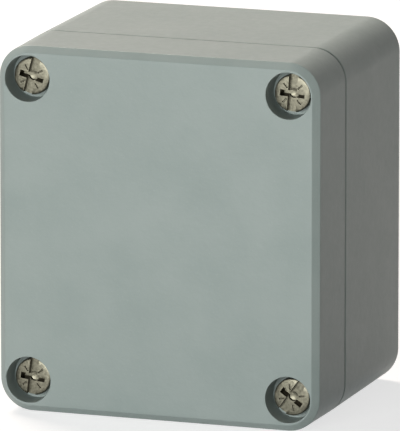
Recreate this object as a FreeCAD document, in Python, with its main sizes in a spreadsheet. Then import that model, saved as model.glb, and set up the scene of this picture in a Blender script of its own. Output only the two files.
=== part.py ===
import FreeCAD, Part
import math
import os
from types import SimpleNamespace

import Sketcher

# A small die cast aluminium box for wall mounting. The base and the lid are
# two castings that meet in one plane. A soft seal lies in a groove of the lid
# and a tongue on the base presses into it. Four captive screws hold the lid.
# They stand in corner blocks outside the seal, beside the holes for the wall
# screws. An earth terminal stands on the floor.
#
# Every piece is drawn with z pointing out of the back plate towards the lid,
# and is then stood upright: x runs across the lid, the lid faces -Y and +Z is up.

SIZES = (
    ("case_width", 73.7, "width across the lid"),
    ("case_height", 81.5, "height of the box as it stands"),
    ("case_depth", 56.2, "back plate to the face of the lid"),
    ("corner_radius", 7.4, "radius of the upright corners"),
    ("back_edge", 0.4, "chamfer round the back"),
    ("base_rim_edge", 0.65, "chamfer of the base at the joint line"),
    ("lid_rim_edge", 0.25, "chamfer of the lid at the joint line"),
    ("face_edge", 1.45, "chamfer round the face of the lid"),
    ("wall", 4.0, "thickness of the side walls"),
    ("floor_thickness", 3.5, "thickness of the back plate"),
    ("lid_depth", 18.0, "face of the lid to the joint line"),
    ("lid_draft", 0.8, "draft of the lid's outer sides, in degrees"),
    ("face_thickness", 3.5, "thickness of the lid's plate"),
    ("hollow_corner", 3.5, "corner radius of both hollows"),
    ("block_corner", 3.0, "radius on the inner edge of a corner block"),
    ("seal_inset", 2.5, "outside of a wall to the middle of the seal"),
    ("seal_land", 2.55, "metal from a wall screw's channel to the middle of the seal"),
    ("tongue_width", 1.2, "width of the base's tongue"),
    ("tongue_height", 1.35, "height of the base's tongue"),
    ("groove_width", 2.2, "width of the seal groove"),
    ("seal_thickness", 1.4, "thickness of the pressed seal"),
    ("seal_gap", 0.05, "play round the seal"),
    ("screw_inset_x", 7.1, "side of the case to a lid screw"),
    ("screw_inset_y", 7.35, "top of the case to a lid screw"),
    ("counterbore_diameter", 10.2, "recess for a screw head in the lid"),
    ("counterbore_depth", 5.7, "depth of that recess"),
    ("shank_hole", 4.5, "bore in the lid for a screw"),
    ("shank_hole_length", 3.1, "length of that bore"),
    ("head_diameter", 8.2, "head of a lid screw"),
    ("head_height", 2.9, "height of that head"),
    ("head_edge", 0.5, "chamfer round the top of a screw head"),
    ("shank_diameter", 3.1, "reduced shank of a lid screw"),
    ("thread_diameter", 4.0, "outside of a screw thread"),
    ("thread_engagement", 7.9, "thread of a lid screw inside the base"),
    ("thread_clearance", 0.04, "radial play of a thread in its hole"),
    ("thread_spare", 3.0, "tapped hole past the tip of its screw"),
    ("slot_width", 2.0, "driver slot of a screw"),
    ("slot_depth", 1.3, "depth of the driver slot"),
    ("ring_bore", 3.3, "bore of a retaining ring"),
    ("ring_thickness", 1.0, "thickness of a retaining ring"),
    ("ring_width", 1.95, "width of a retaining ring from bore to rim"),
    ("ring_play", 0.1, "radial play of a retaining ring in the lid"),
    ("fixing_offset", 8.15, "lid screw to the wall screw beside it"),
    ("fixing_hole", 4.8, "hole for a wall screw"),
    ("fixing_channel", 8.5, "channel for the head of a wall screw"),
    ("fixing_floor", 5.0, "metal under the head of a wall screw"),
    ("boss_diameter", 7.0, "mounting boss on the floor"),
    ("boss_height", 5.0, "height of a mounting boss"),
    ("boss_hole", 3.3, "core hole for the thread in a mounting boss"),
    ("boss_hole_depth", 6.5, "depth of that hole"),
    ("boss_gap_x", 2.95, "mounting boss to the side of the hollow"),
    ("boss_gap_y", 5.25, "mounting boss to the end of the hollow"),
    ("earth_boss_diameter", 9.0, "boss of the earth terminal"),
    ("earth_boss_height", 6.0, "height of that boss"),
    ("earth_boss_gap", 3.0, "that boss to the end of the hollow"),
    ("earth_engagement", 5.5, "thread of the earth screw inside its boss"),
    ("earth_spare", 1.5, "tapped hole past the tip of the earth screw"),
    ("clamp_side", 8.0, "side of the square clamp washer"),
    ("clamp_thickness", 1.2, "thickness of the clamp washer"),
    ("clamp_corner", 0.8, "corner radius of the clamp washer"),
    ("washer_play", 0.15, "radial play of both washers on their screw"),
    ("spring_width", 1.3, "width of the spring washer's section"),
    ("spring_thickness", 0.9, "thickness of the spring washer"),
    ("spring_split", 0.8, "gap of the split in the spring washer"),
    ("earth_head_diameter", 7.6, "head of the earth screw"),
    ("earth_head_height", 2.6, "height of that head"),
)

# Where each lid screw stands, as signs across and up the lid, and how far it
# is turned from an upright slot, in degrees.
LID_SCREWS = (
    ("1", -1, 1, -15.0),
    ("2", 1, 1, -4.0),
    ("3", -1, -1, -6.5),
    ("4", 1, -1, -35.0),
)

TOLERANCE = 1e-4


class Length:
    """A number with the sheet formula that gives it."""

    def __init__(self, value, formula):
        self.value = value
        self.formula = formula

    def joined(self, sign, other, value):
        right = other.formula if isinstance(other, Length) else repr(other)
        return Length(value, f"({self.formula} {sign} {right})")

    def __add__(self, other):
        return self.joined("+", other, self.value + number(other))

    def __sub__(self, other):
        return self.joined("-", other, self.value - number(other))

    def __mul__(self, other):
        return self.joined("*", other, self.value * number(other))

    def __truediv__(self, other):
        return self.joined("/", other, self.value / number(other))

    def __neg__(self):
        return Length(-self.value, f"(-1 * {self.formula})")


def number(quantity):
    return quantity.value if isinstance(quantity, Length) else float(quantity)


def write_sheet(doc):
    sheet = doc.addObject("Spreadsheet::Sheet", "Sizes")
    lengths = {}
    for row, (alias, value, meaning) in enumerate(SIZES, start=1):
        sheet.set(f"A{row}", alias)
        sheet.set(f"B{row}", str(value))
        sheet.set(f"C{row}", meaning)
        sheet.setAlias(f"B{row}", alias)
        lengths[alias] = Length(value, f"Sizes.{alias}")
    doc.recompute()
    return SimpleNamespace(**lengths)


doc = FreeCAD.newDocument("die_cast_box")
size = write_sheet(doc)

# Lengths that several pieces share
half_width = size.case_width / 2
half_height = size.case_height / 2
base_depth = size.case_depth - size.lid_depth
screw_x = half_width - size.screw_inset_x
screw_y = half_height - size.screw_inset_y
fixing_y = screw_y - size.fixing_offset
fixing_radius = size.fixing_channel / 2
seal_far_x = half_width - size.seal_inset
seal_far_y = half_height - size.seal_inset
seal_near_x = screw_x - fixing_radius - size.seal_land
seal_near_y = fixing_y - fixing_radius - size.seal_land
seal_to_hollow = size.wall - size.seal_inset
hollow_half_width = seal_near_x - seal_to_hollow
hollow_half_height = half_height - size.wall
groove_depth = size.tongue_height + size.seal_gap + size.seal_thickness
seat_height = size.case_depth - size.counterbore_depth
ring_seat = seat_height - size.shank_hole_length
tapped_diameter = size.thread_diameter + size.thread_clearance * 2
boss_x = hollow_half_width - size.boss_gap_x - size.boss_diameter / 2
boss_y = hollow_half_height - size.boss_gap_y - size.boss_diameter / 2
earth_y = hollow_half_height - size.earth_boss_gap - size.earth_boss_diameter / 2
earth_seat = size.floor_thickness + size.earth_boss_height
ring_diameter = size.ring_bore + size.ring_width * 2
zero = size.case_width * 0

FOUR_SIGNS = ((-1, 1), (1, 1), (-1, -1), (1, -1))


# Sketches

def add_sketch(body, name, height=None, role="XY_Plane"):
    plane = next(item for item in body.Origin.OriginFeatures if item.Role == role)
    sketch = body.newObject("Sketcher::SketchObject", name)
    sketch.AttachmentSupport = [(plane, "")]
    sketch.MapMode = "FlatFace"
    if height is not None:
        sketch.setExpression("AttachmentOffset.Base.z", height.formula)
    return sketch


def place_point(sketch, geometry, point, axis, length):
    """Hold one coordinate of a point at a length from the sketch's origin."""
    if abs(length.value) < TOLERANCE:
        axis_line = -2 if axis == "X" else -1
        sketch.addConstraint(Sketcher.Constraint("PointOnObject", geometry, point, axis_line))
        return
    ends = (-1, 1, geometry, point)
    if length.value < 0:
        ends = (geometry, point, -1, 1)
        length = -length
    constraint = Sketcher.Constraint("Distance" + axis, *ends, length.value)
    index = sketch.addConstraint(constraint)
    sketch.setExpression(f"Constraints[{index}]", length.formula)


def draw_circle(sketch, x, y, diameter):
    centre = FreeCAD.Vector(x.value, y.value, 0)
    circle = Part.Circle(centre, FreeCAD.Vector(0, 0, 1), diameter.value / 2)
    geometry = sketch.addGeometry(circle, False)
    place_point(sketch, geometry, 3, "X", x)
    place_point(sketch, geometry, 3, "Y", y)
    index = sketch.addConstraint(Sketcher.Constraint("Diameter", geometry, diameter.value))
    sketch.setExpression(f"Constraints[{index}]", diameter.formula)


def draw_polygon(sketch, points):
    """Close straight lines through points given as pairs of lengths."""
    vectors = [FreeCAD.Vector(x.value, y.value, 0) for x, y in points]
    first = sketch.GeometryCount
    for start, end in zip(vectors, vectors[1:] + vectors[:1]):
        sketch.addGeometry(Part.LineSegment(start, end), False)
    for index, (x, y) in enumerate(points):
        line = first + index
        following = first + (index + 1) % len(points)
        sketch.addConstraint(Sketcher.Constraint("Coincident", line, 2, following, 1))
        place_point(sketch, line, 1, "X", x)
        place_point(sketch, line, 1, "Y", y)


def draw_rounded(sketch, corners):
    """Close axis-parallel lines with an arc at each corner, anticlockwise.

    A corner is its x, its y and its radius, all lengths."""
    count = len(corners)
    points = [FreeCAD.Vector(x.value, y.value, 0) for x, y, radius in corners]
    ways = [(points[(i + 1) % count] - points[i]).normalize() for i in range(count)]
    lines = []
    for i in range(count):
        start = points[i] + ways[i] * corners[i][2].value
        end = points[(i + 1) % count] - ways[i] * corners[(i + 1) % count][2].value
        lines.append(sketch.addGeometry(Part.LineSegment(start, end), False))
        upright = abs(ways[i].x) < TOLERANCE
        kind, axis, length = ("Vertical", "X", corners[i][0]) if upright else (
            "Horizontal", "Y", corners[i][1])
        sketch.addConstraint(Sketcher.Constraint(kind, lines[i]))
        place_point(sketch, lines[i], 1, axis, length)
    for i in range(count):
        arriving, leaving, radius = ways[i - 1], ways[i], corners[i][2]
        outward = arriving.cross(leaving).z > 0
        centre = points[i] + (leaving - arriving) * radius.value
        first, last = (-leaving, arriving) if outward else (arriving, -leaving)
        start_angle = math.atan2(first.y, first.x)
        end_angle = math.atan2(last.y, last.x)
        circle = Part.Circle(centre, FreeCAD.Vector(0, 0, 1), radius.value)
        arc = sketch.addGeometry(Part.ArcOfCircle(circle, start_angle, end_angle), False)
        entry, exit_ = (1, 2) if outward else (2, 1)
        sketch.addConstraint(Sketcher.Constraint("Tangent", lines[i - 1], 2, arc, entry))
        sketch.addConstraint(Sketcher.Constraint("Tangent", arc, exit_, lines[i], 1))
        index = sketch.addConstraint(Sketcher.Constraint("Radius", arc, radius.value))
        sketch.setExpression(f"Constraints[{index}]", radius.formula)


# Features

def new_body(label):
    body = doc.addObject("PartDesign::Body", label)
    body.Label = label
    return body


def stand_up(body, x=None, y=None, z=None, turn=0.0):
    """Place a piece drawn round its own axis, then stand the box upright."""
    upright = FreeCAD.Rotation(FreeCAD.Vector(1, 0, 0), 90)
    turned = FreeCAD.Rotation(FreeCAD.Vector(0, 0, 1), turn)
    body.Placement = FreeCAD.Placement(FreeCAD.Vector(0, 0, 0), upright * turned)
    back = size.case_depth / 2
    if x is not None:
        body.setExpression("Placement.Base.x", x.formula)
    depth = back if z is None else back - z
    body.setExpression("Placement.Base.y", depth.formula)
    height = half_height if y is None else half_height + y
    body.setExpression("Placement.Base.z", height.formula)


def add_feature(body, kind, name, **lengths):
    feature = body.newObject("PartDesign::" + kind, name)
    for prop, length in lengths.items():
        feature.setExpression(prop, length.formula)
    return feature


def compute(feature):
    doc.recompute()
    if "Invalid" in feature.State or "Error" in feature.State:
        raise RuntimeError(f"{feature.Name} did not compute")


def compute_and_compare(feature, removes):
    """Hold a feature to what it must do to the volume of its solid."""
    previous = feature.BaseFeature
    before = 0.0 if previous is None else previous.Shape.Volume
    compute(feature)
    change = feature.Shape.Volume - before
    if (change < 0) != removes or abs(change) < TOLERANCE:
        raise RuntimeError(f"{feature.Name} changed the volume by {change:.4f}")
    return feature


def extrude(body, kind, sketch, length, name, reverse, draft=None):
    feature = add_feature(body, kind, name, Length=length)
    feature.Profile = sketch
    feature.Reversed = reverse
    if draft is not None:
        feature.setExpression("TaperAngle", draft.formula)
    return compute_and_compare(feature, removes=kind == "Pocket")


def pad(body, sketch, length, name, reverse=False, draft=None):
    return extrude(body, "Pad", sketch, length, name, reverse, draft)


def pocket(body, sketch, length, name, reverse=False):
    return extrude(body, "Pocket", sketch, length, name, reverse)


def revolve(body, sketch, name):
    feature = add_feature(body, "Revolution", name)
    feature.Profile = sketch
    feature.ReferenceAxis = (sketch, ["V_Axis"])
    feature.Angle = 360
    return compute_and_compare(feature, removes=False)


def edges_at(shape, height):
    """Names of the edges that lie flat at a height."""
    names = []
    for index, edge in enumerate(shape.Edges, start=1):
        box = edge.BoundBox
        if abs(box.ZMin - height) < TOLERANCE and abs(box.ZMax - height) < TOLERANCE:
            names.append(f"Edge{index}")
    return names


def chamfer_edges(body, edges, length, name):
    """Chamfer named edges of the body's newest feature."""
    feature = add_feature(body, "Chamfer", name, Size=length)
    feature.Base = (feature.BaseFeature, edges)
    feature.UseAllEdges = False
    compute(feature)


# Outlines

def rectangle_corners(x, y, radius):
    return [(x, -y, radius), (x, y, radius), (-x, y, radius), (-x, -y, radius)]


def cross_corners(offset):
    """The seal's path round the hollow and inside the four corner blocks,
    moved outwards by an offset, negative inwards."""
    far_x, far_y = seal_far_x + offset, seal_far_y + offset
    near_x, near_y = seal_near_x + offset, seal_near_y + offset
    outer = size.hollow_corner + seal_to_hollow + offset
    inner = size.block_corner - seal_to_hollow - offset
    right_side = [
        (near_x, -far_y, outer), (near_x, -near_y, inner), (far_x, -near_y, outer),
        (far_x, near_y, outer), (near_x, near_y, inner), (near_x, far_y, outer),
    ]
    left_side = [(-x, y, radius) for x, y, radius in reversed(right_side)]
    return right_side + left_side


def draw_four(sketch, x, y, diameter):
    for sign_x, sign_y in FOUR_SIGNS:
        draw_circle(sketch, x * sign_x, y * sign_y, diameter)


# The base casting

def make_base():
    body = new_body("base")
    stand_up(body)
    outline = add_sketch(body, "base_outline")
    draw_rounded(outline, rectangle_corners(half_width, half_height, size.corner_radius))
    block = pad(body, outline, base_depth, "base_block")
    chamfer_edges(body, edges_at(block.Shape, 0.0), size.back_edge, "back_edges")
    rim = edges_at(body.Tip.Shape, base_depth.value)
    chamfer_edges(body, rim, size.base_rim_edge, "base_rim_edges")

    hollow = add_sketch(body, "base_hollow_outline", base_depth)
    draw_rounded(hollow, cross_corners(-seal_to_hollow))
    depth = base_depth - size.floor_thickness
    pocket(body, hollow, depth, "base_hollow")

    tongue = add_sketch(body, "tongue_outline", base_depth)
    draw_rounded(tongue, cross_corners(size.tongue_width / 2))
    draw_rounded(tongue, cross_corners(-size.tongue_width / 2))
    pad(body, tongue, size.tongue_height, "tongue")

    bosses = add_sketch(body, "boss_outlines", size.floor_thickness)
    draw_four(bosses, boss_x, boss_y, size.boss_diameter)
    pad(body, bosses, size.boss_height, "bosses")
    boss_top = size.floor_thickness + size.boss_height
    boss_holes = add_sketch(body, "boss_hole_outlines", boss_top)
    draw_four(boss_holes, boss_x, boss_y, size.boss_hole)
    pocket(body, boss_holes, size.boss_hole_depth, "boss_holes")

    earth_boss = add_sketch(body, "earth_boss_outline", size.floor_thickness)
    draw_circle(earth_boss, zero, -earth_y, size.earth_boss_diameter)
    pad(body, earth_boss, size.earth_boss_height, "earth_boss")
    earth_hole = add_sketch(body, "earth_hole_outline", earth_seat)
    draw_circle(earth_hole, zero, -earth_y, tapped_diameter)
    pocket(body, earth_hole, size.earth_engagement + size.earth_spare, "earth_hole")

    tapped = add_sketch(body, "tapped_hole_outlines", base_depth)
    draw_four(tapped, screw_x, screw_y, tapped_diameter)
    pocket(body, tapped, size.thread_engagement + size.thread_spare, "tapped_holes")

    channels = add_sketch(body, "fixing_channel_outlines", base_depth)
    draw_four(channels, screw_x, fixing_y, size.fixing_channel)
    pocket(body, channels, base_depth - size.fixing_floor, "fixing_channels")
    fixing_holes = add_sketch(body, "fixing_hole_outlines", size.fixing_floor)
    draw_four(fixing_holes, screw_x, fixing_y, size.fixing_hole)
    pocket(body, fixing_holes, size.fixing_floor, "fixing_holes")
    return body


# The lid casting

def make_lid():
    body = new_body("lid")
    stand_up(body)
    outline = add_sketch(body, "lid_outline", base_depth)
    draw_rounded(outline, rectangle_corners(half_width, half_height, size.corner_radius))
    pad(body, outline, size.lid_depth, "lid_block", draft=-size.lid_draft)
    face = edges_at(body.Tip.Shape, size.case_depth.value)
    chamfer_edges(body, face, size.face_edge, "face_edges")
    rim = edges_at(body.Tip.Shape, base_depth.value)
    chamfer_edges(body, rim, size.lid_rim_edge, "lid_rim_edges")

    hollow = add_sketch(body, "lid_hollow_outline", base_depth)
    draw_rounded(hollow, cross_corners(-seal_to_hollow))
    depth = size.lid_depth - size.face_thickness
    pocket(body, hollow, depth, "lid_hollow", reverse=True)

    groove = add_sketch(body, "groove_outline", base_depth)
    draw_rounded(groove, cross_corners(size.groove_width / 2))
    draw_rounded(groove, cross_corners(-size.groove_width / 2))
    pocket(body, groove, groove_depth, "seal_groove", reverse=True)

    counterbores = add_sketch(body, "counterbore_outlines", size.case_depth)
    draw_four(counterbores, screw_x, screw_y, size.counterbore_diameter)
    pocket(body, counterbores, size.counterbore_depth, "counterbores")

    bores = add_sketch(body, "shank_hole_outlines", seat_height)
    draw_four(bores, screw_x, screw_y, size.shank_hole)
    pocket(body, bores, seat_height - base_depth, "shank_holes")
    recesses = add_sketch(body, "ring_recess_outlines", base_depth)
    draw_four(recesses, screw_x, screw_y, ring_diameter + size.ring_play * 2)
    pocket(body, recesses, ring_seat - base_depth, "ring_recesses", reverse=True)
    return body


# The soft pieces

def make_seal():
    body = new_body("seal")
    stand_up(body)
    outline = add_sketch(body, "seal_outline", base_depth + size.tongue_height + size.seal_gap)
    side = size.groove_width / 2 - size.seal_gap
    draw_rounded(outline, cross_corners(side))
    draw_rounded(outline, cross_corners(-side))
    pad(body, outline, size.seal_thickness, "seal_ring")
    return body


def make_retaining_ring(corner, sign_x, sign_y):
    body = new_body("retaining_ring_" + corner)
    stand_up(body, screw_x * sign_x, screw_y * sign_y, ring_seat)
    outline = add_sketch(body, body.Label + "_outline")
    draw_circle(outline, zero, zero, ring_diameter)
    draw_circle(outline, zero, zero, size.ring_bore)
    pad(body, outline, size.ring_thickness, body.Label + "_disc", reverse=True)
    return body


# The screws

def cut_slot(body, head_diameter, head_height):
    """Cut the driver slot right across the head."""
    slot = add_sketch(body, body.Label + "_slot_outline", head_height)
    half_slot = size.slot_width / 2
    draw_polygon(slot, [(-half_slot, -head_diameter), (half_slot, -head_diameter),
                        (half_slot, head_diameter), (-half_slot, head_diameter)])
    pocket(body, slot, size.slot_depth, body.Label + "_slot")


def make_screw(body, head_diameter, head_height, steps):
    """Turn a screw whose head sits on z = 0. Each step of its shank is a
    diameter and the depth where that step ends."""
    profile = add_sketch(body, body.Label + "_profile", role="XZ_Plane")
    points = [(zero, head_height), (zero, -steps[-1][1])]
    upper = zero
    rising = []
    for diameter, depth in steps:
        rising.insert(0, (diameter / 2, -upper))
        rising.insert(0, (diameter / 2, -depth))
        upper = depth
    points += rising
    points += [(head_diameter / 2, zero), (head_diameter / 2, head_height)]
    draw_polygon(profile, points)
    turned = revolve(body, profile, body.Label + "_blank")
    top_edge = edges_at(turned.Shape, head_height.value)
    chamfer_edges(body, top_edge, size.head_edge, body.Label + "_head_edge")
    cut_slot(body, head_diameter, head_height)


def make_lid_screw(corner, sign_x, sign_y, turn):
    body = new_body("lid_screw_" + corner)
    stand_up(body, screw_x * sign_x, screw_y * sign_y, seat_height, turn)
    thread_start = seat_height - base_depth
    steps = [(size.shank_diameter, thread_start),
             (size.thread_diameter, thread_start + size.thread_engagement)]
    make_screw(body, size.head_diameter, size.head_height, steps)
    return body


# The earth terminal

washer_bore = size.thread_diameter + size.washer_play * 2
spring_seat = earth_seat + size.clamp_thickness
earth_head_seat = spring_seat + size.spring_thickness


def make_clamp_washer():
    body = new_body("earth_clamp_washer")
    stand_up(body, y=-earth_y, z=earth_seat)
    half_side = size.clamp_side / 2
    plate = add_sketch(body, "clamp_outline")
    draw_rounded(plate, rectangle_corners(half_side, half_side, size.clamp_corner))
    pad(body, plate, size.clamp_thickness, "clamp_plate")
    bore = add_sketch(body, "clamp_bore_outline", size.clamp_thickness)
    draw_circle(bore, zero, zero, washer_bore)
    pocket(body, bore, size.clamp_thickness, "clamp_bore")
    return body


def make_spring_washer():
    body = new_body("earth_spring_washer")
    stand_up(body, y=-earth_y, z=spring_seat)
    outline = add_sketch(body, "spring_outline")
    draw_circle(outline, zero, zero, washer_bore + size.spring_width * 2)
    draw_circle(outline, zero, zero, washer_bore)
    pad(body, outline, size.spring_thickness, "spring_ring")
    split = add_sketch(body, "spring_split_outline", size.spring_thickness)
    half_split = size.spring_split / 2
    reach = washer_bore + size.spring_width
    draw_polygon(split, [(-half_split, zero), (half_split, zero),
                         (half_split, reach), (-half_split, reach)])
    pocket(body, split, size.spring_thickness, "spring_split")
    return body


def make_earth_screw():
    body = new_body("earth_screw")
    stand_up(body, y=-earth_y, z=earth_head_seat, turn=45.0)
    depth = earth_head_seat - earth_seat + size.earth_engagement
    make_screw(body, size.earth_head_diameter, size.earth_head_height,
               [(size.thread_diameter, depth)])
    return body


# Making and writing the pieces

pieces = [make_base(), make_lid(), make_seal()]
for corner, sign_x, sign_y, turn in LID_SCREWS:
    pieces.append(make_lid_screw(corner, sign_x, sign_y, turn))
    pieces.append(make_retaining_ring(corner, sign_x, sign_y))
pieces += [make_clamp_washer(), make_spring_washer(), make_earth_screw()]
doc.recompute()

for item in doc.Objects:
    if "Invalid" in item.State or "Error" in item.State:
        raise RuntimeError(f"{item.Name} did not compute")
for piece in pieces:
    if piece.Shape.isNull() or not piece.Shape.isValid() or len(piece.Shape.Solids) != 1:
        raise RuntimeError(f"{piece.Label} is not one valid solid")

os.makedirs("parts", exist_ok=True)
for piece in pieces:
    piece.Shape.exportStep(f"parts/{piece.Label}.step")
    print(f"{piece.Label}: {piece.Shape.Volume:.1f} mm3")
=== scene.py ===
import math

import bmesh
import bpy
from mathutils import Matrix, Vector


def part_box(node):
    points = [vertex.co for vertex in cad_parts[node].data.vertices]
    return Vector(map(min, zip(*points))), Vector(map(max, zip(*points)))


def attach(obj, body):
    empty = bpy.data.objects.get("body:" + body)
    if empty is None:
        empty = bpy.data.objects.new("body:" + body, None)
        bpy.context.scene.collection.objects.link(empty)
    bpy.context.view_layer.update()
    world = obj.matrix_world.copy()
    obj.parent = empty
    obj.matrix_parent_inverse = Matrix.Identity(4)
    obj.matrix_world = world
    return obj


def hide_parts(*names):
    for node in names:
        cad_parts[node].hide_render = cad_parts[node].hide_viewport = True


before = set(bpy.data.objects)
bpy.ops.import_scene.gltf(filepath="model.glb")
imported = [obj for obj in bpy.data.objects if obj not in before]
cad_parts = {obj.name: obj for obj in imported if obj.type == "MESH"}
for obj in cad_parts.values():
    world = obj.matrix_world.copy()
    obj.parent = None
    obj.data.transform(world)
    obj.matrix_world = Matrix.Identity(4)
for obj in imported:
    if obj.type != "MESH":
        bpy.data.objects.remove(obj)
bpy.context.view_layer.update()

MM = 0.001
CORNER_RADIUS = 7.4 * MM

# Depths from the outside over which the coat gives way to bare metal.
BASE_COAT_END = (1.1 * MM, 1.3 * MM)
LID_COAT_END = (1.3 * MM, 1.5 * MM)
# The coat in a recess ends over these radii, and over these depths below the
# seat of the screw's head.
RECESS_COAT_RADII = (5.3 * MM, 5.4 * MM)
RECESS_COAT_DEPTHS = (0.2 * MM, 0.3 * MM)
EDGE_ROUNDING = 0.14 * MM
EDGE_ANGLE = 32.0
SAME_PLACE = 1e-6

# The lid screws, in millimetres and degrees.
HEAD_HEIGHT = 2.9
SCREW_TURNS = (-15.0, -4.0, -6.5, -35.0)
THREAD_ROWS = 60
# One turn of thread in section, as shares of the pitch and of the crest's height.
THREAD_FORM = ((0.0, 0.0), (0.31, 1.0), (0.44, 1.0), (0.75, 0.0))
# The thread's first turn starts this many pitches below its core.
THREAD_START = 1.5
SLOT_LENGTH = 20.0
ARM_SLOPE = 9.0
PIT_TAPER = 0.78
MARK_DEPTH, MARK_SLOPE = 0.22, 35.0
CUTTER_RAISE = 0.05
CUTTER_TOP = 0.5

# The camera that was fitted to the photograph, in degrees, metres and, for the
# lens, millimetres. It aims at the middle of the lid's face.
CAMERA_YAW, CAMERA_PITCH = 19.12, 12.048
CAMERA_AIM = (0.0, -0.0281, 0.04075)
CAMERA_DISTANCE = 1.98563
CAMERA_RIGHT, CAMERA_UP = 0.009256, 0.00512
CAMERA_LENS, CAMERA_SENSOR = 768.34, 36.0
LAMP_AIM = (0.0, 0.0, 0.04)
FLOOR_REACH = 6.0
FLOOR_GLOW = 0.7

scene = bpy.context.scene


# Node trees

class Tree:
    """A node tree that is built one node at a time."""

    def __init__(self, tree):
        self.tree = tree

    def add(self, kind, inputs=None, **settings):
        node = self.tree.nodes.new(kind)
        for name, value in settings.items():
            setattr(node, name, value)
        for name, value in (inputs or {}).items():
            self.feed(node.inputs[name], value)
        return node

    def feed(self, socket, value):
        if isinstance(value, bpy.types.NodeSocket):
            self.tree.links.new(value, socket)
        else:
            socket.default_value = value

    def math(self, operation, first, second=0.0, third=0.0):
        values = {0: first, 1: second, 2: third}
        return self.add("ShaderNodeMath", values, operation=operation).outputs[0]

    def combine(self, x, y, z):
        return self.add("ShaderNodeCombineXYZ", {0: x, 1: y, 2: z}).outputs[0]

    def separate(self, vector):
        return self.add("ShaderNodeSeparateXYZ", {0: vector}).outputs


class Finish(Tree):
    """A material whose pattern is read from the piece's own coordinates."""

    def __init__(self, name, **shader):
        self.material = bpy.data.materials.new(name)
        self.material.use_nodes = True
        super().__init__(self.material.node_tree)
        self.shader = self.tree.nodes["Principled BSDF"]
        for socket, value in shader.items():
            self.feed(self.shader.inputs[socket.replace("_", " ")], value)
        self.place = self.add("ShaderNodeTexCoord").outputs["Object"]

    def noise(self, size, detail=3.0, roughness=0.5, stretch=None):
        """Noise between 0 and 1 whose lumps are a size in metres."""
        place = self.place
        if stretch is not None:
            values = {"Vector": place, "Scale": stretch}
            place = self.add("ShaderNodeMapping", values).outputs[0]
        values = {"Vector": place, "Scale": 1.0 / size,
                  "Detail": detail, "Roughness": roughness}
        return self.add("ShaderNodeTexNoise", values).outputs[0]

    def spread(self, value, low, high, from_low=0.3, from_high=0.7):
        """Bring a value from one range to another, and no further."""
        values = {0: value, 1: from_low, 2: from_high, 3: low, 4: high}
        return self.add("ShaderNodeMapRange", values).outputs[0]

    def mix(self, share, first, second):
        node = self.add("ShaderNodeMix", data_type="RGBA")
        values = {"Factor_Float": share, "A_Color": first, "B_Color": second}
        for socket, value in values.items():
            found = next(item for item in node.inputs if item.identifier == socket)
            self.feed(found, value)
        return next(item for item in node.outputs if item.identifier == "Result_Color")

    def bump(self, height, depth, under=None):
        values = {"Height": height, "Distance": depth}
        if under is not None:
            values["Normal"] = under
        return self.add("ShaderNodeBump", values).outputs[0]


def grey(red, green, blue):
    """A linear colour, from the 0 to 255 values of a picture."""
    def linear(value):
        value /= 255
        return value / 12.92 if value <= 0.04045 else ((value + 0.055) / 1.055) ** 2.4
    return (linear(red), linear(green), linear(blue), 1.0)


# Finishes

def casting_finish(name, coated):
    """Powder coat outside and bare die cast metal inside. The function coated
    gives the share of coat from the piece's own coordinates."""
    finish = Finish(name, Specular_IOR_Level=0.3)
    share = coated(finish)
    lumps = finish.noise(1.5 * MM, 2.0)
    grain = finish.noise(0.55 * MM, 3.0)
    clouds = finish.noise(11.0 * MM, 4.0)
    cloudy = finish.spread(clouds, 0.0, 1.0)
    speckled = finish.spread(grain, 0.0, 0.5, 0.6, 0.75)
    coat = finish.mix(cloudy, grey(148, 161, 157), grey(155, 167, 163))
    coat = finish.mix(speckled, coat, grey(160, 172, 168))
    metal = finish.mix(cloudy, grey(186, 188, 190), grey(206, 207, 208))
    finish.feed(finish.shader.inputs["Base Color"], finish.mix(share, metal, coat))
    finish.feed(finish.shader.inputs["Metallic"], finish.math("SUBTRACT", 1.0, share))
    coat_gloss = finish.spread(lumps, 0.38, 0.46)
    metal_gloss = finish.spread(clouds, 0.42, 0.60)
    values = {0: share, 2: metal_gloss, 3: coat_gloss}
    gloss = finish.add("ShaderNodeMix", values).outputs[0]
    finish.feed(finish.shader.inputs["Roughness"], gloss)
    peel = finish.bump(lumps, 0.05 * MM)
    peel = finish.bump(grain, 0.02 * MM, under=peel)
    finish.feed(finish.shader.inputs["Normal"], peel)
    return finish.material


def off(finish, value, middle):
    """How far a value is from a middle, to either side."""
    return finish.math("ABSOLUTE", finish.math("SUBTRACT", value, middle))


def depth_inside(finish, lowest, highest):
    """How far a point lies inside the box's rounded outline."""
    x, y, z = finish.separate(finish.place)
    past = []
    for value, low, high in ((x, lowest.x, highest.x), (z, lowest.z, highest.z)):
        off_middle = off(finish, value, (low + high) / 2)
        past.append(finish.math("SUBTRACT", off_middle, (high - low) / 2 - CORNER_RADIUS))
    squares = [finish.math("POWER", finish.math("MAXIMUM", value, 0.0), 2.0)
               for value in past]
    round_part = finish.math("SQRT", finish.math("ADD", *squares))
    flat_part = finish.math("MINIMUM", finish.math("MAXIMUM", *past), 0.0)
    outside = finish.math("ADD", round_part, flat_part)
    return finish.math("SUBTRACT", CORNER_RADIUS, outside)


def base_coated(finish):
    lowest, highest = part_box("base")
    _, y, _ = finish.separate(finish.place)
    nearest = finish.math("MINIMUM", depth_inside(finish, lowest, highest),
                          finish.math("SUBTRACT", highest.y, y))
    return finish.spread(nearest, 1.0, 0.0, *BASE_COAT_END)


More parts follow.
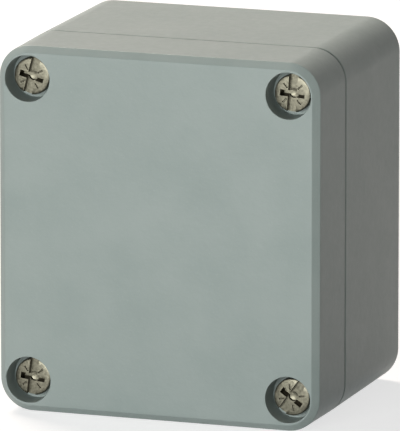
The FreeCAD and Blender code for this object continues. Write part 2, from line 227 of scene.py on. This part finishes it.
def lid_coated(finish):
    lowest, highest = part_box("lid")
    x, y, z = finish.separate(finish.place)
    nearest = finish.math("MINIMUM", depth_inside(finish, lowest, highest),
                          finish.math("SUBTRACT", y, lowest.y))
    sides = finish.spread(nearest, 1.0, 0.0, *LID_COAT_END)
    across = finish.math("SUBTRACT", finish.math("ABSOLUTE", x), screw_across)
    middle = (lowest.z + highest.z) / 2
    up = finish.math("SUBTRACT", off(finish, z, middle), screw_up)
    radius = finish.math("SQRT", finish.math("ADD", finish.math("POWER", across, 2.0),
                                             finish.math("POWER", up, 2.0)))
    near = finish.spread(radius, 1.0, 0.0, *RECESS_COAT_RADII)
    ends = [head_seat + depth for depth in RECESS_COAT_DEPTHS]
    shallow = finish.spread(y, 1.0, 0.0, *ends)
    return finish.math("MAXIMUM", sides, finish.math("MULTIPLY", near, shallow))


def screw_finish():
    """Bright on the turned faces, with painted shade on the punched recess walls: a darker
    colour there stands in for the shade and dark reflections inside the recess.
    """
    finish = Finish("plated screw steel", Metallic=1.0)
    mottle = finish.noise(0.45 * MM, 3.0)
    shaded_wall = finish.add("ShaderNodeAttribute", attribute_name="recess wall shade").outputs["Fac"]
    mottled = finish.spread(mottle, 0.0, 1.0)
    bright = finish.mix(mottled, grey(93, 92, 80), grey(121, 119, 105))
    # Painted shade: the recess walls are coloured darker in place of the shade and dark
    # reflections that fall inside the recess.
    painted_shade = finish.mix(mottled, grey(62, 58, 48), grey(92, 87, 74))
    finish.feed(finish.shader.inputs["Base Color"], finish.mix(shaded_wall, bright, painted_shade))
    finish.feed(finish.shader.inputs["Roughness"], finish.spread(mottle, 0.33, 0.46))
    finish.feed(finish.shader.inputs["Normal"], finish.bump(mottle, 0.02 * MM))
    return finish.material


def one_pattern(finish, pattern, dark, pale, roughness, relief):
    """Let colour, gloss and relief all follow one pattern."""
    colour = finish.mix(finish.spread(pattern, 0.0, 1.0), dark, pale)
    finish.feed(finish.shader.inputs["Base Color"], colour)
    finish.feed(finish.shader.inputs["Roughness"], finish.spread(pattern, *roughness))
    finish.feed(finish.shader.inputs["Normal"], finish.bump(pattern, relief))
    return finish.material


def rubber_finish():
    finish = Finish("seal rubber")
    pores = finish.noise(0.3 * MM, 4.0, 0.7)
    return one_pattern(finish, pores, grey(38, 38, 40), grey(56, 56, 58),
                       (0.7, 0.9), 0.05 * MM)


def nylon_finish():
    finish = Finish("retaining ring nylon")
    clouds = finish.noise(1.2 * MM, 3.0)
    return one_pattern(finish, clouds, grey(214, 208, 190), grey(226, 221, 205),
                       (0.42, 0.55), 0.02 * MM)


def brass_finish():
    finish = Finish("clamp washer brass", Metallic=1.0)
    brushed = finish.noise(0.25 * MM, 3.0, stretch=(1.0, 8.0, 1.0))
    return one_pattern(finish, brushed, grey(190, 158, 92), grey(214, 184, 118),
                       (0.28, 0.42), 0.02 * MM)


# Geometry trees

class Shape(Tree):
    """A geometry tree in millimetres with a named input for each size."""

    def __init__(self, name, sizes):
        super().__init__(bpy.data.node_groups.new(name, "GeometryNodeTree"))
        face = self.tree.interface
        for label, value in sizes.items():
            socket = face.new_socket(name=label, in_out="INPUT",
                                     socket_type="NodeSocketFloat")
            socket.default_value = value
        face.new_socket(name="Finish", in_out="INPUT", socket_type="NodeSocketMaterial")
        face.new_socket(name="Geometry", in_out="OUTPUT", socket_type="NodeSocketGeometry")
        self.size = self.add("NodeGroupInput").outputs

    def plus(self, first, second):
        return self.math("ADD", first, second)

    def minus(self, first, second):
        return self.math("SUBTRACT", first, second)

    def times(self, first, second):
        return self.math("MULTIPLY", first, second)

    def choose(self, index, vectors):
        node = self.add("GeometryNodeIndexSwitch", data_type="VECTOR")
        while len(node.index_switch_items) < len(vectors):
            node.index_switch_items.new()
        self.feed(node.inputs[0], self.whole(index))
        for number, vector in enumerate(vectors):
            self.feed(node.inputs[number + 1], self.combine(*vector))
        return node.outputs[0]

    def whole(self, value):
        node = self.add("FunctionNodeFloatToInt", {0: value}, rounding_mode="ROUND")
        return node.outputs[0]

    def moved(self, geometry, position):
        values = {"Geometry": geometry, "Position": position}
        return self.add("GeometryNodeSetPosition", values).outputs[0]

    def turn_sheet(self, segments, rows):
        """A flat sheet, its angle across and its row number up."""
        values = {"Size X": math.tau, "Size Y": rows - 1.0,
                  "Vertices X": segments + 1, "Vertices Y": rows}
        sheet = self.add("GeometryNodeMeshGrid", values).outputs[0]
        across, up, _ = self.separate(self.add("GeometryNodeInputPosition").outputs[0])
        return sheet, across, self.plus(up, (rows - 1) / 2)

    def turned(self, sheet, radius, angle, height):
        """Roll a flat sheet up round the axis, to a closed skin."""
        place = self.combine(self.times(radius, self.math("COSINE", angle)),
                             self.times(radius, self.math("SINE", angle)), height)
        return self.merged(self.moved(sheet, place))

    def lathe(self, profile, segments=64):
        """A closed turned solid. The profile runs from the lower pole up its
        outside to the upper pole, as radius and height."""
        sheet, angle, row = self.turn_sheet(segments, len(profile))
        point = self.choose(row, [(radius, 0.0, height) for radius, height in profile])
        radius, _, height = self.separate(point)
        return self.turned(sheet, radius, angle, height)

    def thread(self, top, bottom, diameter, pitch, depth, rows, segments=40):
        """A closed core with a helical thread that runs out at both ends."""
        sheet, angle, row = self.turn_sheet(segments, rows)
        points = float(len(THREAD_FORM))
        step = self.math("FLOOR", self.math("DIVIDE", self.plus(row, 0.5), points))
        place = self.minus(row, self.times(step, points))
        form = self.choose(place, [(share, crest, 0.0) for share, crest in THREAD_FORM])
        part, crest, _ = self.separate(form)
        turns = self.plus(self.plus(step, part), self.math("DIVIDE", angle, math.tau))
        lowest = self.minus(bottom, self.times(pitch, THREAD_START))
        height = self.plus(lowest, self.times(turns, pitch))
        height = self.math("MINIMUM", self.math("MAXIMUM", height, bottom), top)
        ends = self.math("MINIMUM", self.minus(top, height), self.minus(height, bottom))
        fade = self.math("MINIMUM", self.math("DIVIDE", ends, depth), 1.0)
        last = self.math("COMPARE", row, rows - 1.0, 0.5)
        first = self.math("COMPARE", row, 0.0, 0.5)
        between = self.minus(1.0, self.plus(first, last))
        radius = self.plus(self.minus(self.times(diameter, 0.5), depth),
                           self.times(self.times(crest, fade), depth))
        return self.turned(sheet, self.times(radius, between), angle, height)

    def merged(self, mesh):
        return self.add("GeometryNodeMergeByDistance",
                        {"Geometry": mesh, "Distance": 0.001}).outputs[0]

    def block(self, across, along, top, depth, slope=0.0, turn=0.0, reach=0.0):
        """A bar that reaches down from a height, narrower at its foot by a
        slope. Slope and turn are in degrees, and reach moves the bar along its
        own length. Its upper face is raised clear of the face that it cuts."""
        cube = self.add("GeometryNodeMeshCube", {"Size": (1.0, 1.0, 1.0)}).outputs[0]
        x, y, z = self.separate(self.add("GeometryNodeInputPosition").outputs[0])
        foot = self.minus(0.5, z)
        shrink = self.times(self.times(foot, depth), 2.0 * math.tan(math.radians(slope)))
        x = self.times(x, self.minus(across, shrink))
        y = self.plus(self.times(y, self.minus(along, shrink)), reach)
        z = self.minus(top, self.times(foot, depth))
        raised = self.times(self.math("COMPARE", foot, 0.0, 0.1), CUTTER_RAISE)
        bar = self.moved(cube, self.combine(x, y, self.plus(z, raised)))
        values = {"Geometry": bar, "Rotation": (0.0, 0.0, math.radians(turn))}
        return self.add("GeometryNodeTransform", values).outputs[0]

    def cut(self, body, tools):
        node = self.add("GeometryNodeMeshBoolean", operation="DIFFERENCE", solver="EXACT")
        self.feed(node.inputs["Mesh 1"], body)
        for tool in tools:
            self.tree.links.new(tool, node.inputs["Mesh 2"])
        return node.outputs[0]

    def mark_shaded_walls(self, body, reach):
        """Mark the steep faces nearer the axis than a reach, just above z = 0, as the
        recess walls that get painted shade.
        """
        _, _, upright = self.separate(self.add("GeometryNodeInputNormal").outputs[0])
        x, y, z = self.separate(self.add("GeometryNodeInputPosition").outputs[0])
        away = self.math("SQRT", self.plus(self.times(x, x), self.times(y, y)))
        steep = self.math("LESS_THAN", self.math("ABSOLUTE", upright), 0.6)
        near = self.math("LESS_THAN", away, reach)
        above = self.math("GREATER_THAN", z, 0.05)
        # Painted shade mask: 1 on the recess walls, which the screw finish colours darker
        # in place of shade.
        shaded_wall = self.times(self.times(steep, near), above)
        values = {"Geometry": body, "Name": "recess wall shade", "Value": shaded_wall}
        return self.add("GeometryNodeStoreNamedAttribute", values, domain="FACE").outputs[0]

    def close(self, *parts):
        """Join the parts, bring them to metres and give them their finish."""
        join = self.add("GeometryNodeJoinGeometry")
        for part in parts:
            self.tree.links.new(part, join.inputs[0])
        values = {"Geometry": join.outputs[0], "Scale": (MM, MM, MM)}
        scaled = self.add("GeometryNodeTransform", values).outputs[0]
        realized = self.add("GeometryNodeRealizeInstances", {"Geometry": scaled}).outputs[0]
        values = {"Geometry": realized, "Material": self.size["Finish"]}
        painted = self.add("GeometryNodeSetMaterial", values).outputs[0]
        self.tree.links.new(painted, self.add("NodeGroupOutput").inputs[0])
        return self.tree


def screw_tree():
    """A turned screw with a slot, two tapered arms across it and a pit in its
    head. Its head stands on z = 0."""
    shape = Shape("turned screw", {
        "Head Diameter": 8.2, "Head Height": HEAD_HEIGHT, "Head Edge": 0.45,
        "Shank Diameter": 3.1, "Shank Length": 12.3,
        "Thread Diameter": 4.0, "Thread Length": 7.9, "Pitch": 0.7, "Thread Depth": 0.43,
        "Slot Width": 2.0, "Slot Depth": 1.3,
        "Arm Span": 5.6, "Arm Width": 1.4, "Arm Depth": 2.0,
        "Pit Diameter": 2.6, "Pit Point": 0.35,
        "Mark Width": 0.42, "Mark Length": 1.35, "Mark Reach": 2.3})
    size = shape.size
    head = shape.times(size["Head Diameter"], 0.5)
    top = size["Head Height"]
    edge = size["Head Edge"]
    shank = shape.times(size["Shank Diameter"], 0.5)
    under = shape.times(size["Shank Length"], -1.0)
    tip = shape.minus(under, size["Thread Length"])
    # The shank's foot runs into the thread, where it tapers to end unseen.
    foot_length, foot_taper, foot_step, small_edge, wall_margin = 0.4, 0.3, 0.05, 0.12, 0.25
    foot = shape.minus(under, foot_length)
    rounded = shape.times(edge, 0.3)
    blank = shape.lathe([
        (0.0, foot), (shape.minus(shank, foot_taper), foot),
        (shank, shape.minus(under, foot_step)), (shank, -small_edge),
        (shape.plus(shank, small_edge), 0.0), (shape.minus(head, small_edge), 0.0),
        (head, small_edge), (head, shape.minus(top, edge)),
        (shape.minus(head, rounded), shape.minus(top, rounded)),
        (shape.minus(head, edge), top), (0.0, top)])
    arm_depth = size["Arm Depth"]
    slot = shape.block(size["Slot Width"], SLOT_LENGTH, top, size["Slot Depth"])
    arms = shape.block(size["Arm Width"], size["Arm Span"], top, arm_depth,
                       slope=ARM_SLOPE, turn=90.0)
    pit_radius = shape.times(size["Pit Diameter"], 0.5)
    pit_floor = shape.minus(top, arm_depth)
    pit_top = shape.plus(top, CUTTER_TOP)
    pit = shape.lathe([
        (0.0, shape.minus(pit_floor, size["Pit Point"])),
        (shape.times(pit_radius, PIT_TAPER), pit_floor),
        (pit_radius, pit_top), (0.0, pit_top)], segments=32)
    marks = [shape.block(size["Mark Width"], size["Mark Length"], top, MARK_DEPTH,
                         slope=MARK_SLOPE, turn=45.0 + 90.0 * quarter,
                         reach=size["Mark Reach"]) for quarter in range(4)]
    recessed = shape.cut(blank, [slot, arms, pit, *marks])
    head_part = shape.mark_shaded_walls(recessed, shape.minus(head, wall_margin))
    thread = shape.thread(under, tip, size["Thread Diameter"], size["Pitch"],
                          size["Thread Depth"], THREAD_ROWS)
    return shape.close(head_part, thread)


def run_tree(name, tree, finish):
    """Run a geometry tree once and keep its result as a plain mesh."""
    carrier = bpy.data.objects.new(name, bpy.data.meshes.new(name))
    scene.collection.objects.link(carrier)
    modifier = carrier.modifiers.new("shape", "NODES")
    modifier.node_group = tree
    for item in tree.interface.items_tree:
        if item.in_out == "INPUT" and item.name == "Finish":
            modifier[item.identifier] = finish
    depsgraph = bpy.context.evaluated_depsgraph_get()
    mesh = bpy.data.meshes.new_from_object(carrier.evaluated_get(depsgraph))
    carrier.modifiers.clear()
    carrier.data = mesh
    return carrier


def soften(piece, angle=30.0):
    """Smooth faces, with sharp edges where they meet at more than an angle."""
    piece.data.shade_smooth()
    piece.data.set_sharp_from_angle(angle=math.radians(angle))
    weights = piece.modifiers.new("face weights", "WEIGHTED_NORMAL")
    weights.mode = "FACE_AREA"
    weights.keep_sharp = True


def stood_up(x, y, z, turn):
    """From a screw's own frame to the box's: its head points out of the lid."""
    return (Matrix.Translation((x, y, z)) @ Matrix.Rotation(math.radians(90), 4, "X")
            @ Matrix.Rotation(math.radians(turn), 4, "Z"))


# The castings

def casting(node, body, finish):
    """The node's own shape with joined faces and softened edges."""
    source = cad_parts[node]
    mesh = source.data.copy()
    shape = bmesh.new()
    shape.from_mesh(mesh)
    bmesh.ops.remove_doubles(shape, verts=shape.verts, dist=SAME_PLACE)
    shape.to_mesh(mesh)
    shape.free()
    piece = bpy.data.objects.new(node + "_casting", mesh)
    scene.collection.objects.link(piece)
    mesh.materials.clear()
    mesh.materials.append(finish)
    rounding = piece.modifiers.new("coated edges", "BEVEL")
    rounding.width = EDGE_ROUNDING
    rounding.segments = 2
    rounding.limit_method = "ANGLE"
    rounding.angle_limit = math.radians(EDGE_ANGLE)
    rounding.use_clamp_overlap = False
    soften(piece, 40.0)
    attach(piece, body)
    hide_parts(node)


def dress(node, finish):
    """Give a CAD piece its finish."""
    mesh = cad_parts[node].data
    mesh.materials.clear()
    mesh.materials.append(finish)


def head_place(node):
    """The middle of a lid screw's head, at its outer end."""
    lowest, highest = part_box(node)
    return (lowest.x + highest.x) / 2, lowest.y, (lowest.z + highest.z) / 2


screw_across, head_top, screw_z = head_place("lid_screw_2")
screw_up = screw_z - (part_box("base")[0].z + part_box("base")[1].z) / 2
head_seat = head_top + HEAD_HEIGHT * MM

steel = screw_finish()
casting("base", "base", casting_finish("base casting", base_coated))
casting("lid", "lid", casting_finish("lid casting", lid_coated))

lid_screw_tree = screw_tree()
for number, turn in enumerate(SCREW_TURNS, start=1):
    node = f"lid_screw_{number}"
    piece = run_tree(f"captive_screw_{number}", lid_screw_tree, steel)
    x, top, z = head_place(node)
    piece.data.transform(stood_up(x, top + HEAD_HEIGHT * MM, z, turn))
    soften(piece)
    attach(piece, node)
    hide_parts(node)

nylon = nylon_finish()
for number in range(1, 5):
    dress(f"retaining_ring_{number}", nylon)
dress("seal", rubber_finish())
dress("earth_clamp_washer", brass_finish())
dress("earth_spring_washer", steel)
dress("earth_screw", steel)


# The studio

def studio_floor():
    mesh = bpy.data.meshes.new("studio_floor")
    corners = [(x * FLOOR_REACH, y * FLOOR_REACH, 0.0)
               for x, y in ((-1, -1), (1, -1), (1, 1), (-1, 1))]
    mesh.from_pydata(corners, [], [(0, 1, 2, 3)])
    floor = bpy.data.objects.new("studio_floor", mesh)
    scene.collection.objects.link(floor)
    finish = Finish("pale floor", Roughness=0.9, Specular_IOR_Level=0.0)
    clouds = finish.noise(0.4, 2.0)
    finish.feed(finish.shader.inputs["Base Color"], finish.mix(
        clouds, (0.44, 0.44, 0.44, 1.0), (0.46, 0.46, 0.46, 1.0)))
    finish.feed(finish.shader.inputs["Emission Color"], (1.0, 1.0, 1.0, 1.0))
    glow = finish.math("MULTIPLY", seen(finish), FLOOR_GLOW)
    finish.feed(finish.shader.inputs["Emission Strength"], glow)
    mesh.materials.append(finish.material)


def seen(finish):
    """1 for what the camera sees, directly, in a gloss or through a clear
    surface, and 0 for light that falls on the box."""
    path = finish.add("ShaderNodeLightPath").outputs
    either = finish.math("MAXIMUM", path["Is Camera Ray"], path["Is Glossy Ray"])
    return finish.math("MAXIMUM", either, path["Is Transmission Ray"])


def studio_world(ambient):
    """Near white where it is seen, and far weaker as a light on the box."""
    world = bpy.data.worlds.new("studio")
    scene.world = world
    world.use_nodes = True
    tree = Tree(world.node_tree)
    background = world.node_tree.nodes["Background"]
    background.inputs["Color"].default_value = (1.0, 0.97, 0.94, 1.0)
    level = tree.math("MULTIPLY_ADD", seen(tree), 1.0 - ambient, ambient)
    tree.feed(background.inputs["Strength"], level)


def soft_light(name, direction, distance, size, power, colour):
    """A flat lamp that faces the middle of the box, in metres and watts."""
    data = bpy.data.lights.new(name, "AREA")
    data.shape = "RECTANGLE"
    data.size, data.size_y = size
    data.energy = power
    data.color = colour
    lamp = bpy.data.objects.new(name, data)
    way = Vector(direction).normalized()
    lamp.location = Vector(LAMP_AIM) + way * distance
    lamp.rotation_euler = way.to_track_quat("Z", "Y").to_euler()
    scene.collection.objects.link(lamp)


def product_camera():
    yaw, pitch = math.radians(CAMERA_YAW), math.radians(CAMERA_PITCH)
    back = Vector((math.sin(yaw) * math.cos(pitch),
                   -math.cos(yaw) * math.cos(pitch), math.sin(pitch)))
    right = Vector((math.cos(yaw), math.sin(yaw), 0.0))
    up = back.cross(right)
    place = (Vector(CAMERA_AIM) + back * CAMERA_DISTANCE
             + right * CAMERA_RIGHT + up * CAMERA_UP)
    data = bpy.data.cameras.new("product camera")
    data.lens = CAMERA_LENS
    data.sensor_width = CAMERA_SENSOR
    data.clip_start = 0.05
    camera = bpy.data.objects.new("product camera", data)
    camera.matrix_world = Matrix((
        (right.x, up.x, back.x, place.x), (right.y, up.y, back.y, place.y),
        (right.z, up.z, back.z, place.z), (0.0, 0.0, 0.0, 1.0)))
    scene.collection.objects.link(camera)
    scene.camera = camera


scene.view_settings.view_transform = "Standard"
studio_floor()
studio_world(0.02)
soft_light("front", (0.0, -1.0, 0.05), 0.95, (0.6, 0.5), 9.8, (1.0, 1.0, 1.0))
soft_light("back left", (-0.50, 0.45, 0.75), 1.3, (0.6, 0.6), 15.6, (1.0, 0.89, 0.81))
soft_light("front left", (-0.60, -0.80, 0.22), 0.95, (0.14, 0.14), 0.6, (1.0, 1.0, 1.0))
product_camera()
